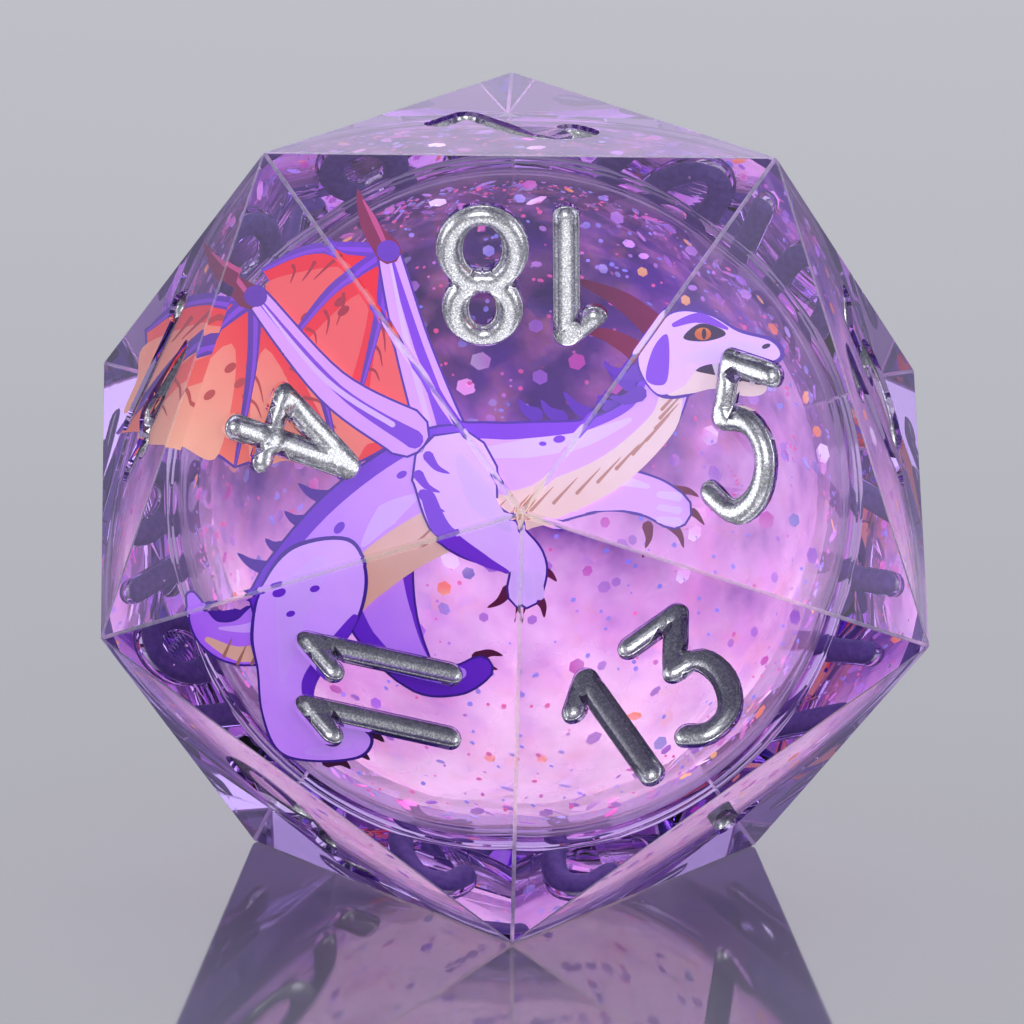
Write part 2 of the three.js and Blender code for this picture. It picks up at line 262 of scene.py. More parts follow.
def lets_lamps_through(nodes, glass, tint):
    """Clear material that lamps shine through, as they do through thin clear resin."""
    path = nodes.add("ShaderNodeLightPath")
    clear = nodes.add("ShaderNodeBsdfTransparent", Color=linear(tint))
    return nodes.done(nodes.mix(path.outputs["Is Shadow Ray"], glass, clear.outputs[0]))


def resin_material(name, colour, tint):
    nodes = Nodes(name)
    scuffs = nodes.bump(nodes.noise(900.0, 6.0), 0.012, 0.02 * MM)
    return lets_lamps_through(nodes, nodes.glass(RESIN_IOR, colour, Normal=scuffs), tint)


def resin_edge_material():
    nodes = Nodes("resin_edge_polish")
    # White diffuse mixed into the rough edge glass: painted highlight along the rounded edges
    painted_edge_highlight = nodes.add("ShaderNodeBsdfDiffuse", Color=linear("e9e6f4"))
    share = nodes.ramp(nodes.noise(4000.0, 3.0), [(0.3, 0.3), (0.75, 0.52)])
    body = nodes.mix(share, nodes.glass(RESIN_IOR, "ffffff", 0.12), painted_edge_highlight.outputs[0])
    return lets_lamps_through(nodes, body, "f2eefc")


def inner_glass(name, ior, colour, tint, scale):
    nodes = Nodes(name)
    ripple = nodes.bump(nodes.noise(scale, 2.0), 0.02, 0.1 * MM)
    return lets_lamps_through(nodes, nodes.glass(ior, colour, Normal=ripple), tint)


def haze_matte(nodes, point, scale, glow):
    """Cloudy pigment with motes of colour, deeper violet up and to the left and paler down and to the right:
    painted shade at the top and painted light at the bottom.
    """
    # Painted shading along HAZE_WAY: darker up, paler down
    painted_shading = nodes.along(point, HAZE_WAY, -HAZE_REACH, HAZE_REACH, HAZE_DARKEST, HAZE_PALEST)
    cloud = nodes.noise(scale, 5.0, point, 0.6)
    tone = nodes.add_in_order("ShaderNodeMath", cloud, painted_shading, operation="ADD")
    blend = nodes.add_in_order(
        "ShaderNodeMixRGB",
        nodes.ramp(nodes.noise(420.0, 3.0, point), [(0.46, 0.0), (0.66, 0.42)]),
        nodes.ramp(tone, HAZE_STOPS),
        nodes.ramp(nodes.cells(1300.0, point), HAZE_MOTES),
    )
    return nodes.surface(blend, glow, Roughness=0.6)


def veil_share(nodes, point, scale, thin, thick):
    """How much of the haze shows, in drifting patches."""
    return nodes.ramp(nodes.noise(scale, 4.0, point, 0.55), [(0.35, thin), (0.68, thick)])


def haze_material(name, thin, thick, scale, glow):
    nodes = Nodes(name)
    point = nodes.object_point()
    matte = haze_matte(nodes, point, scale, glow)
    clear = nodes.add("ShaderNodeBsdfTransparent")
    share = veil_share(nodes, point, scale * 1.7, thin, thick)
    return nodes.done(nodes.mix(share, clear.outputs[0], matte))


def liquid_material(thin, thick, glow):
    """Clear liquid with a thin bloom of pigment at its surface."""
    nodes = Nodes("liquid")
    point = nodes.object_point()
    matte = haze_matte(nodes, point, 100.0, glow)
    share = veil_share(nodes, point, 150.0, thin, thick)
    return lets_lamps_through(nodes, nodes.mix(share, nodes.glass(LIQUID_IOR, "fbf2fa"), matte), "f6ecf6")


def flake_material(name, first, second, glow):
    nodes = Nodes(name)
    tone = nodes.ramp(nodes.noise(700.0, 0.0), [(0.4, first), (0.6, second)])
    return nodes.done(nodes.surface(tone, glow, Roughness=0.22, Metallic=0.55))


def paint_material():
    """Silver paint with a fine metallic grain."""
    nodes = Nodes("silver_paint")
    grain = nodes.cells(17000.0, nodes.object_point())
    sparkle = nodes.ramp(grain, [(0.15, "a6a7ae"), (0.6, "cccdd4"), (0.9, "fafafc")])
    normal = nodes.bump(nodes.noise(9000.0, 4.0), 0.14, 0.02 * MM)
    return nodes.done(nodes.surface(sparkle, Metallic=1.0, Roughness=0.24, Normal=normal))


def paint_back_material():
    """The underside of the paint, seen through the resin: dull and dark, and tinted violet as painted shade
    that matches the dark violet corners of the die.
    """
    nodes = Nodes("silver_paint_underside")
    tone = nodes.ramp(nodes.noise(3000.0, 4.0), [(0.3, "584a8c"), (0.7, "7466a6")])
    return nodes.done(nodes.surface(tone, Metallic=0.3, Roughness=0.6))


INK_MOTTLE = 0.24


def print_material(name, low, high, way, start, end, glow):
    """Printed ink whose colour shades along a direction of the picture, with fine mottling."""
    nodes = Nodes(name)
    point = nodes.object_point()
    direction = (PICTURE_RIGHT * way[0] + PICTURE_UP * way[1]).normalized()
    shading = nodes.along(point, direction, start * MM, end * MM)
    grain = nodes.noise(500.0, 3.0, point)
    mottle = nodes.add_in_order("ShaderNodeMath", grain, INK_MOTTLE, shading, operation="MULTIPLY_ADD")
    colour = nodes.ramp(mottle, [(0.12, low), (1.0, high)])
    return nodes.done(nodes.surface(colour, glow, Roughness=0.5))


# ---- numerals
DIGIT_H = 6.4 * MM
STROKE_R = 0.58 * MM
GROOVE_DEPTH = 0.65 * MM
DIGIT_GAP = 0.8 * MM
MARK_DROP = 1.4 * MM
GROOVE_POWER = 2.4
PAINT_SHARE = 0.965
PAINT_UP = 0.04 * MM
PAINT_DOWN = 0.03 * MM
LAYERS = (1.0, 0.93, 0.8, 0.55, 0.28)
END_STEPS = 10
CURVE_STEPS = 18
LOOP_STEPS = 40
LINE_STEP = 0.8 * MM
EDGE_ROUND = 0.17 * MM
ROUND_STEPS = 3
SHARP_ANGLE = math.radians(20)
WELD = 1e-4  # points closer than this, in mm, become one when an outline is filled


def line(*pairs):
    return {"pairs": pairs}


def curve(*pairs):
    return {"pairs": pairs, "smooth": True}


def loop(y, rx, ry):
    return {"loop": (y, rx, ry)}


# The strokes of each digit in shares of its height, and half its width.
GLYPHS = {
    "0": (0.21, [loop(0, 0.21, 0.5)]),
    "1": (0.1, [line((0.07, -0.5), (0.07, 0.5)), line((0.07, 0.5), (-0.11, 0.33))]),
    "2": (0.21, [
        curve((-0.19, 0.3), (-0.11, 0.46), (0.04, 0.5), (0.18, 0.38), (0.17, 0.14), (0, -0.16), (-0.2, -0.5)),
        line((-0.2, -0.5), (0.21, -0.5)),
    ]),
    "3": (0.21, [
        line((-0.18, 0.5), (0.19, 0.5)),
        line((0.19, 0.5), (-0.03, 0.11)),
        curve((-0.03, 0.11), (0.15, 0.06), (0.21, -0.18), (0.12, -0.44), (-0.07, -0.5), (-0.21, -0.4)),
    ]),
    "4": (0.22, [
        line((0.08, 0.5), (-0.22, -0.2)),
        line((-0.22, -0.2), (0.23, -0.2)),
        line((0.08, 0.5), (0.08, -0.5)),
    ]),
    "5": (0.21, [
        line((-0.16, 0.5), (0.18, 0.5)),
        line((-0.16, 0.5), (-0.18, 0.1)),
        curve((-0.18, 0.1), (0.04, 0.13), (0.2, -0.04), (0.19, -0.32), (0.02, -0.5), (-0.2, -0.43)),
    ]),
    "6": (0.21, [
        loop(-0.2, 0.21, 0.3),
        curve((0.14, 0.5), (-0.08, 0.32), (-0.19, 0.05), (-0.21, -0.2)),
    ]),
    "7": (0.2, [line((-0.2, 0.5), (0.2, 0.5)), line((0.2, 0.5), (-0.06, -0.5))]),
    "8": (0.22, [loop(-0.22, 0.22, 0.28), loop(0.27, 0.18, 0.23)]),
    "9": (0.21, [
        loop(0.2, 0.21, 0.3),
        curve((-0.14, -0.5), (0.08, -0.32), (0.19, -0.05), (0.21, 0.2)),
    ]),
    "mark": (0.2, [line((-0.16, 0), (0.16, 0))]),
}


def catmull(points, steps, closed=False):
    """A smooth line through the points, sampled evenly between them."""
    count = len(points)
    spans = count if closed else count - 1
    made = []
    for i in range(spans):
        if closed:
            p = [points[(i + k - 1) % count] for k in range(4)]
        else:
            p = [points[min(max(i + k - 1, 0), count - 1)] for k in range(4)]
        for k in range(steps):
            t = k / steps
            made.append(0.5 * (
                2 * p[1]
                + (p[2] - p[0]) * t
                + (2 * p[0] - 5 * p[1] + 4 * p[2] - p[3]) * t**2
                + (3 * p[1] - p[0] - 3 * p[2] + p[3]) * t**3
            ))
    if not closed:
        made.append(points[-1].copy())
    return made


def stepped(start, end, step):
    count = max(1, round((end - start).length / step))
    return [start.lerp(end, i / count) for i in range(count + 1)]


def outline(path, half_widths, end_steps):
    """The closed outline of a stroke along the path with round ends."""
    last = len(path) - 1
    left, right, turns = [], [], []
    for i, point in enumerate(path):
        heading = path[min(i + 1, last)] - path[max(i - 1, 0)]
        angle = math.atan2(heading.y, heading.x)
        side = Vector((-math.sin(angle), math.cos(angle))) * half_widths[i]
        turns.append(angle)
        left.append(point + side)
        right.append(point - side)

    def cap(i, start):
        turned = [start - math.pi * k / end_steps for k in range(1, end_steps)]
        return [path[i] + Vector((math.cos(a), math.sin(a))) * half_widths[i] for a in turned]

    return left + cap(last, turns[last] + QUARTER) + right[::-1] + cap(0, turns[0] - QUARTER)


def glyph_paths(name, offset):
    """Each shape's centreline on the face, and whether it is a closed loop."""
    paths = []
    for shape in GLYPHS[name][1]:
        if "loop" in shape:
            y, rx, ry = (value * DIGIT_H for value in shape["loop"])
            ring = [offset + Vector((rx * p.x, y + ry * p.y)) for p in circle(LOOP_STEPS)]
            paths.append((ring, True))
            continue
        points = [offset + Vector(pair) * DIGIT_H for pair in shape["pairs"]]
        if shape.get("smooth"):
            steps = max(2, round(CURVE_STEPS / (len(points) - 1)))
            paths.append((catmull(points, steps), False))
        else:
            paths.append((stepped(*points, LINE_STEP), False))
    return paths


def ring_offset(ring, distance):
    """A closed loop moved outwards, or inwards for a negative distance."""
    count = len(ring)
    made = []
    for i, point in enumerate(ring):
        heading = (ring[(i + 1) % count] - ring[i - 1]).normalized()
        made.append(point + Vector((heading.y, -heading.x)) * distance)
    return made


def distance_to(point, paths):
    nearest = 1.0
    for path, closed in paths:
        ends = path[1:] + path[:1] if closed else path[1:]
        for a, b in zip(path, ends):
            span = b - a
            share = min(max((point - a).dot(span) / span.length_squared, 0.0), 1.0)
            nearest = min(nearest, (point - a - span * share).length)
    return nearest


def lay_out(number):
    """Name and place of each glyph of a numeral on its face."""
    halves = [GLYPHS[digit][0] * DIGIT_H + STROKE_R for digit in number]
    x = -(2 * sum(halves) + DIGIT_GAP * (len(number) - 1)) / 2
    places = []
    for i, digit in enumerate(number):
        places.append((f"numeral_{number}_{i + 1}", digit, Vector((x + halves[i], 0))))
        x += 2 * halves[i] + DIGIT_GAP
    if number in ("6", "9"):
        places.append((f"numeral_{number}_mark", "mark", Vector((0, -DIGIT_H / 2 - MARK_DROP))))
    return places


def face_frame(letters):
    """Right, up and outward directions of a face, with up towards its first corner."""
    points = [CORNERS[letter] for letter in letters]
    middle = (points[0] + points[1] + points[2]) / 3
    normal = middle.normalized()
    up = (points[0] - middle).normalized()
    return up.cross(normal), up, normal


def groove_depth(distance):
    share = min(distance / STROKE_R, 1.0)
    return GROOVE_DEPTH * (1 - share**GROOVE_POWER) ** (1 / GROOVE_POWER)


def glyph_points(paths, widest):
    """Outlines at the widest layer, which stay whole, and loose points on the layers inside it."""
    outlines, loose = [], []
    for path, closed in paths:
        for share in LAYERS:
            reach = STROKE_R * widest * share
            if closed:
                made = [ring_offset(path, reach), ring_offset(path, -reach)]
            else:
                made = [outline(path, [reach] * len(path), END_STEPS)]
            if share == LAYERS[0]:
                outlines += made
            else:
                loose += [point for ring in made for point in ring]
        loose += path
    return outlines, loose


def joined(rings):
    """The points of all the rings in one list, and the edges that close each ring."""
    points, edges = [], []
    for ring in rings:
        first = len(points)
        points += ring
        edges += [(first + i, first + (i + 1) % len(ring)) for i in range(len(ring))]
    return points, edges


def triangulate(outlines, loose):
    """Triangles over all the points that keep every outline's lines."""
    points, edges = joined(outlines)
    scaled = [point * (1 / MM) for point in points + loose]
    made = geometry.delaunay_2d_cdt(scaled, edges, [], 0, WELD, False)
    return [point * MM for point in made[0]], made[2]


def middle_of(points, triangle):
    return sum((points[i] for i in triangle), Vector((0, 0))) / 3


def add_resin_face(bm, letters, number, corners):
    """One face of the resin with its grooves, filled in between three corners of the rounded body."""
    right, up, normal = face_frame(letters)
    middle = normal * IN_R
    border = [Vector(((c.co - middle).dot(right), (c.co - middle).dot(up))) for c in corners]
    outlines, loose, paths = [border], [], []
    for _, glyph, offset in lay_out(number):
        own = glyph_paths(glyph, offset)
        rings, points = glyph_points(own, 1.0)
        outlines += rings
        loose += points
        paths += own
    points, triangles = triangulate(outlines, loose)
    depths = [groove_depth(distance_to(point, paths)) for point in points]
    verts = []
    for point, depth in zip(points, depths):
        near = [c for c, b in zip(corners, border) if (b - point).length < 1e-3 * MM]
        place = middle + right * point.x + up * point.y - normal * depth
        verts.append(near[0] if near else bm.verts.new(place))
    for triangle in triangles:
        face = bm.faces.new([verts[i] for i in triangle])
        face.smooth = distance_to(middle_of(points, triangle), paths) < STROKE_R
        # The bottom face takes the dark violet base glass: painted shade under the die
        face.material_index = 2 if number == REST_FACE else 0


def resin_body(clear, edge, base):
    """The clear body: flat faces with engraved grooves, and rounded edges and corners between them."""
    bm = bmesh.new()
    made = {letter: bm.verts.new(point) for letter, point in CORNERS.items()}
    for letters in FACES.values():
        bm.faces.new([made[letter] for letter in letters])
    bmesh.ops.recalc_face_normals(bm, faces=bm.faces)
    bmesh.ops.bevel(
        bm, geom=bm.edges[:] + bm.verts[:], offset=EDGE_ROUND, segments=ROUND_STEPS, profile=0.5,
        affect="EDGES", offset_type="WIDTH",
    )
    by_area = sorted(bm.faces, key=lambda face: -face.calc_area())
    flats = by_area[: len(FACES)]
    for face in by_area[len(FACES) :]:
        face.material_index = 1
        face.smooth = True
    for number, letters in FACES.items():
        normal = face_frame(letters)[2]
        flat = max(flats, key=lambda face: face.normal.dot(normal))
        corners = list(flat.verts)
        flats.remove(flat)
        bm.faces.remove(flat)
        add_resin_face(bm, letters, number, corners)
    bmesh.ops.recalc_face_normals(bm, faces=bm.faces)
    for side in bm.edges:
        if len(side.link_faces) == 2 and side.calc_face_angle(0) > SHARP_ANGLE:
            side.smooth = False
    bmesh.ops.translate(bm, verts=bm.verts, vec=CENTRE)
    body = from_bmesh("resin_block", bm, clear, edge, base)
    stands_for(body, "die", "clear_resin", "resin_outer", "resin_inner", "pour_plug")


def numeral(number, letters, *paints):
    """The paint in the grooves of one face."""
    right, up, normal = face_frame(letters)
    bm = bmesh.new()
    nodes = []
    for node, glyph, offset in lay_out(number):
        nodes.append(node)
        paths = glyph_paths(glyph, offset)
        points, triangles = triangulate(*glyph_points(paths, PAINT_SHARE))
        depths = [groove_depth(distance_to(point, paths)) for point in points]
        reach = STROKE_R * PAINT_SHARE
        inside = {
            tuple(triangle): (0, 1) for triangle in triangles
            if distance_to(middle_of(points, triangle), paths) < reach
        }
        add_sheet(bm, inside, lambda i, side: (
            CENTRE + right * points[i].x + up * points[i].y
            + normal * (IN_R - depths[i] + (PAINT_UP if side else -PAINT_DOWN))
        ))
    stands_for(from_bmesh(f"numeral_{number}", bm, *paints, smooth=True), "die", "numeral_paint", *nodes)


def add_sheet(bm, triangles, place):
    """A closed thin sheet: triangles give their upper and lower material, and place a point on a side."""
    used = sorted({i for triangle in triangles for i in triangle})
    tops = {i: bm.verts.new(place(i, 1)) for i in used}
    bottoms = {i: bm.verts.new(place(i, 0)) for i in used}
    rims = {}
    for (a, b, c), (upper, lower) in triangles.items():
        bm.faces.new((tops[a], tops[b], tops[c])).material_index = upper
        bm.faces.new((bottoms[c], bottoms[b], bottoms[a])).material_index = lower
        for pair in ((a, b), (b, c), (c, a)):
            if pair[::-1] in rims:
                del rims[pair[::-1]]
            else:
                rims[pair] = upper
    for (a, b), upper in rims.items():
        bm.faces.new((tops[b], tops[a], bottoms[a], bottoms[b])).material_index = upper


# ---- ball, liquid and haze
UP = Vector((0, 0, 1))
AXIS = CORNERS["V"].normalized()
AROUND = 96
RINGS = 40
PLUG_STEPS = 4
SEAM = 0.02 * MM
FILL_PLUG_R = 0.95 * MM
FILL_PLUG_GAP = 0.006  # radians


def lathed(name, profile, material):
    """A closed solid turned round the line through the centre and the front corner."""
    bm = bmesh.new()
    turn = UP.rotation_difference(AXIS).to_matrix()
    rings = []
    for radius, height in profile:
        at_axis = radius < 1e-9
        ring = circle(1 if at_axis else AROUND, radius, height)
        rings.append([bm.verts.new(CENTRE + turn @ point) for point in ring])
    bands = list(zip(rings, rings[1:]))
    if len(rings[0]) > 1:
        bands.append((rings[-1], rings[0]))
    for low, high in bands:
        for k in range(AROUND):
            m = (k + 1) % AROUND
            around = [low[k % len(low)], low[m % len(low)], high[m % len(high)], high[k % len(high)]]
            bm.faces.new(list(dict.fromkeys(around)))
    return from_bmesh(name, bm, material, smooth=True)


def arc(radius, start, end, steps):
    """Points of a profile, each a radius and a height, along an arc round the centre."""
    turns = [start + (end - start) * k / steps for k in range(steps + 1)]
    return [(max(radius * math.cos(a), 0.0), radius * math.sin(a)) for a in turns]


def ball_shell(material):
    """Two clear half shells that meet at a fine seam round the middle, and the fill plug at the back."""
    low = math.asin(SEAM / SHELL_IN_R)
    hole = math.asin(FILL_PLUG_R / SHELL_OUT_R) - QUARTER
    plug = hole - FILL_PLUG_GAP
    profiles = {
        "ball_shell_front": arc(SHELL_IN_R, QUARTER, low, RINGS) + arc(SHELL_OUT_R, low, QUARTER, RINGS),
        "ball_shell_rear": arc(SHELL_OUT_R, hole, -low, RINGS) + arc(SHELL_IN_R, -low, hole, RINGS),
        "ball_fill_plug": (
            arc(SHELL_OUT_R, -QUARTER, plug, PLUG_STEPS) + arc(SHELL_IN_R, plug, -QUARTER, PLUG_STEPS)
        ),
    }
    for node, profile in profiles.items():
        stands_for(lathed(f"{node}_clear", profile, material), "die", "ball_shell", node)


def liquid_ball(material):
    made = lathed("liquid_clear", arc(LIQUID_R, -QUARTER, QUARTER, 2 * RINGS), material)
    stands_for(made, "liquid", "liquid", "liquid_fill")


CLOUD_STRIDE = Vector((7.3, 3.1, 5.7))


def cloud(name, radius, lumps, frequency, seed, material):
    """A lumpy closed surface, like a cloud of pigment hanging in the liquid."""
    bm = bmesh.new()
    bmesh.ops.create_icosphere(bm, subdivisions=5, radius=radius)
    shift = CLOUD_STRIDE * seed
    for vert in bm.verts:
        swell = noise.fractal(vert.co.normalized() * frequency + shift, 1.0, 2.0, 4)
        vert.co = CENTRE + vert.co * (1 + lumps * swell)
    stands_for(from_bmesh(name, bm, material, smooth=True), "liquid", "liquid")


# ---- glitter
FLAKE_THICK = 0.03 * MM
GLITTER_R = LIQUID_R - 0.3 * MM
GLITTER_DEPTH = 0.07  # share of that radius over which the flakes lie
EMPTY_CORE = 0.2


def flakes(name, count, seed, smallest, largest, material, nodes, top=False):
    """Hexagonal flakes scattered through the outer liquid; top thins them out below the middle."""
    draw = random.Random(seed)
    bm = bmesh.new()
    made = 0
    while made < count:
        way = Vector([draw.uniform(-1, 1) for _ in range(3)])
        if not EMPTY_CORE < way.length < 1:
            continue
        way = way.normalized() * (1 - GLITTER_DEPTH + GLITTER_DEPTH * way.length)
        if top and draw.random() > 0.35 + 0.65 * max(way.z, 0):
            continue
        made += 1
        turn = Matrix.Rotation(draw.uniform(0, math.tau), 3, UP)
        lean = Vector((draw.gauss(0, 1), draw.gauss(0, 1), draw.gauss(0, 1))).normalized()
        facing = (way.normalized() * 2.2 + lean).normalized()
        turn = UP.rotation_difference(facing).to_matrix() @ turn
        radius = draw.uniform(smallest, largest) * MM / 2
        centre = CENTRE + way * GLITTER_R
        low, high = (
            [bm.verts.new(centre + turn @ point) for point in circle(6, radius, height)]
            for height in (-FLAKE_THICK / 2, FLAKE_THICK / 2)
        )
        bm.faces.new(high)
        bm.faces.new(low[::-1])
        for k in range(6):
            m = (k + 1) % 6
            bm.faces.new((low[k], low[m], high[m], high[k]))
    stands_for(from_bmesh(name, bm, material), "glitter", "glitter", *nodes)


BUBBLE_SPREAD = 2.6 * MM
BUBBLE_PLACE = 0.8  # share of the way from the centre to a corner


def bubbles(material):
    """Pinhead air bubbles caught in the resin near the upper corners."""
    draw = random.Random(11)
    bm = bmesh.new()
    for letter, count in (("A", 16), ("B", 12), ("C", 5), ("E", 5)):
        for _ in range(count):
            away = Vector([draw.uniform(-1, 1) for _ in range(3)]) * BUBBLE_SPREAD
            at = CORNERS[letter] * BUBBLE_PLACE + away
            size = draw.uniform(0.03, 0.09) * MM
            place = Matrix.Translation(CENTRE + at)
            bmesh.ops.create_icosphere(bm, subdivisions=2, radius=size, matrix=place)
    stands_for(from_bmesh("resin_bubbles", bm, material, smooth=True), "die", "clear_resin")


# ---- folded foil picture
# Outlines are in millimetres from the line through the front corner, X to the right and Y up.
FOIL_THICK = 0.06 * MM
FOIL_LAYERS = {"back": 15.15 * MM, "middle": 15.29 * MM, "front": 15.43 * MM}
PICTURE_RIGHT = Vector((1, 0, 0))
PICTURE_UP = AXIS.cross(PICTURE_RIGHT)
SMOOTH_STEPS = 7
TAPER_END_STEPS = 5
SPIKE_STEPS = 5
SPIKE_END_STEPS = 4
SPIKE_POWER = 0.8
SPIKE_TIP = 0.01
SPINE_STEPS = 8
SPOT_STEPS = 14
WEB_STEPS = 8
RIM = 0.1


def pairs(*values):
    """Points from a flat run of x and y values."""
    return [Vector(pair) for pair in zip(values[::2], values[1::2])]


def taper(values, widths, grow=0.0):
    """The outline of a stroke whose half-width changes along it."""
    path = catmull(pairs(*values), SMOOTH_STEPS)
    spans = len(widths) - 1
    halves = []
    for i in range(len(path)):
        at = i / (len(path) - 1) * spans
        low = min(int(at), spans - 1)
        halves.append(widths[low] + (widths[low + 1] - widths[low]) * (at - low) + grow)
    return outline(path, halves, TAPER_END_STEPS)


def blob(*values):
    return catmull(pairs(*values), SMOOTH_STEPS, closed=True)


def spike(x, y, dx, dy, width, bend=0.0):
    """A pointed, slightly bent tip such as a claw or a spine."""
    root, tip = Vector((x, y)), Vector((x + dx, y + dy))
    side = Vector((-dy, dx)).normalized()
    path = catmull([root, root.lerp(tip, 0.5) + side * bend, tip], SPIKE_STEPS)
    last = len(path) - 1
    halves = [width * (1 - k / last) ** SPIKE_POWER + SPIKE_TIP for k in range(last + 1)]
    return outline(path, halves, SPIKE_END_STEPS)


def spot(x, y, rx, ry, turn=0.0):
    turned = Matrix.Rotation(math.radians(turn), 2)
    return [Vector((x, y)) + turned @ Vector((rx * p.x, ry * p.y)) for p in circle(SPOT_STEPS)]


def web(corners, bends):
    """A closed outline through the corners, each side bent towards its own control point."""
    made = []
    for start, control, end in zip(corners, bends, corners[1:] + corners[:1]):
        for k in range(WEB_STEPS):
            t = k / WEB_STEPS
            made.append(start * (1 - t) ** 2 + control * 2 * t * (1 - t) + end * t**2)
    return made


def spines(values, count, length, width, lean):
    """A row of spikes along a line, each leaning the given way."""
    path = catmull(pairs(*values), SPINE_STEPS)
    made = []
    for k in range(count):
        at = path[round(k * (len(path) - 1) / max(count - 1, 1))]
        size = length * (0.75 + 0.25 * math.sin(2.4 * k))
        made.append(spike(at.x, at.y, lean[0] * size, lean[1] * size, width, 0.12))
    return made


def winding(point, ring):
    """How many times the ring goes round the point."""
    turns = 0
    for a, b in zip(ring[-1:] + ring, ring):
        if (a.y <= point.y) != (b.y <= point.y):
            side = (b.x - a.x) * (point.y - a.y) - (point.x - a.x) * (b.y - a.y)
            if side and (b.y > a.y) == (side > 0):
                turns += 1 if side > 0 else -1
    return turns


NORMALS = [face_frame(letters)[2] for letters in FACES.values()]
FRONT_NORMALS = [normal for normal in NORMALS if normal.dot(AXIS) > 0.05]


def on_sheet(point, layer):
    """Where an eye in front of the front corner sees a picture point, on the folded sheet in the resin."""
    flat = (PICTURE_RIGHT * point.x + PICTURE_UP * point.y) * MM
    depth, normal = min(((IN_R - n.dot(flat)) / n.dot(AXIS), tuple(n)) for n in FRONT_NORMALS)
    normal = Vector(normal)
    entry = flat + AXIS * depth
    facing = normal.dot(AXIS)
    inside = math.sqrt(1 - (1 - facing**2) / RESIN_IOR**2)
    ray = -AXIS / RESIN_IOR - normal * (inside - facing / RESIN_IOR)
    place = entry + ray * ((IN_R - layer) / inside)
    for other in FRONT_NORMALS:
        over = other.dot(place) - layer
        if over > 1e-7 and other.dot(normal) < 0.999:
            slide = other - normal * other.dot(normal)
            place -= slide * (over / slide.length_squared)
    return CENTRE + place


FOLDS = ["VA", "VB", "VC", "VD", "VE", "AB", "BC", "CD", "DE", "EA", "AG", "EG", "AT", "EI", "DI", "BT"]


def flat_point(letter):
    point = CORNERS[letter] / MM
    return Vector((point.dot(PICTURE_RIGHT), point.dot(PICTURE_UP)))


def topmost(point, shapes):
    """The ink of the last shape that covers the point, or None."""
    for ink, ring, (left, bottom, right, top) in reversed(shapes):
        if left < point.x < right and bottom < point.y < top and winding(point, ring):
            return ink
    return None


def foil_piece(node, slot, layer, shapes):
    """One piece of the picture: shapes are (ink, outline) in paint order, the last on top."""
    points, edges = joined([ring for _, ring in shapes])
    for a, b in FOLDS:
        points += [flat_point(a), flat_point(b)]
        edges.append((len(points) - 2, len(points) - 1))
    made = geometry.delaunay_2d_cdt(points, edges, [], 0, WELD, False)
    points, triangles = made[0], made[2]
    boxed = []
    for ink, ring in shapes:
        xs, ys = [p.x for p in ring], [p.y for p in ring]
        boxed.append((ink, ring, (min(xs), min(ys), max(xs), max(ys))))
    ink_of = {tuple(triangle): topmost(middle_of(points, triangle), boxed) for triangle in triangles}
    inks = sorted({ink for ink in ink_of.values() if ink})
    covered = {triangle: (inks.index(ink),) * 2 for triangle, ink in ink_of.items() if ink}
    level = FOIL_LAYERS[layer]
    bm = bmesh.new()
    add_sheet(bm, covered, lambda i, side: on_sheet(points[i], level + FOIL_THICK * side))
    stands_for(from_bmesh(f"{node}_print", bm, *[INKS[ink] for ink in inks]), "die", slot, node)


INKS = {}


def mix_inks():
    """Each ink's name, first and last tone, direction, start and end of the shading in mm, and glow."""
    for name, low, high, way, start, end, glow in (
        ("rim", "46209c", "6434c0", (0, 1), -8, 8, 0.14),
        ("body", "a856ee", "e8baff", (0.45, 0.9), -13, 3, 0.5),
        ("shade", "762ad8", "984cf0", (0.3, 1), -8, 6, 0.28),
        ("light", "d6a4ff", "f0daff", (0.4, 0.9), -14, 6, 0.45),
        ("limb", "bc72f2", "f0d0ff", (0.5, 0.86), -20, 5, 0.55),
        ("cream", "f0c498", "fff0d8", (0.5, 0.86), -6, 6, 0.45),
        ("stripe", "c48a60", "dcae8c", (0, 1), -6, 6, 0.25),
        ("membrane", "f8885a", "f01424", (0.66, 0.75), -8.5, -0.5, 0.6),
        ("vein", "ee6a3c", "c81a34", (0.66, 0.75), -8.5, 2.0, 0.25),
        ("bone", "5a1fb0", "8446dc", (0.3, 0.95), 0, 11, 0.2),
        ("claw", "4a0a34", "a02458", (0.3, 1), -11, 12, 0.16),
        ("panel", "ffca90", "fa6456", (0.66, 0.75), -8.5, 1.0, 0.55),
        ("ridge", "c23a78", "e05c92", (0, 1), -8, 8, 0.3),
        ("horn", "2c0730", "9a1f5c", (1, 0.2), 1, 8, 0.1),
        ("tooth", "f1e2d4", "ffffff", (0, 1), 4, 7, 0.3),
        ("iris", "e2701c", "ffc04a", (0, 1), 7.4, 8.4, 0.4),
        ("dark", "1c062c", "3a1058", (0, 1), 0, 9, 0.0),
    ):
        INKS[name] = print_material(f"ink_{name}", low, high, way, start, end, glow)


def inked(ink, outlines):
    """The same ink for each outline."""
    return [(ink, ring) for ring in outlines]


def brush(ink, path, widths):
    return ink, taper(path, widths)


def rimmed(ink, path, widths):
    """A stroke with a dark rim round it."""
    return [("rim", taper(path, widths, RIM)), brush(ink, path, widths)]


def claws(width, *rows):
    """Each claw's place, reach and bend."""
    return inked("claw", [spike(*row[:4], width, row[4]) for row in rows])


def spots(flat, *rows):
    """Each spot's place, half-width and turn; flat is its height as a share of its width."""
    return inked("shade", [spot(x, y, rx, flat * rx, turn) for x, y, rx, turn in rows])


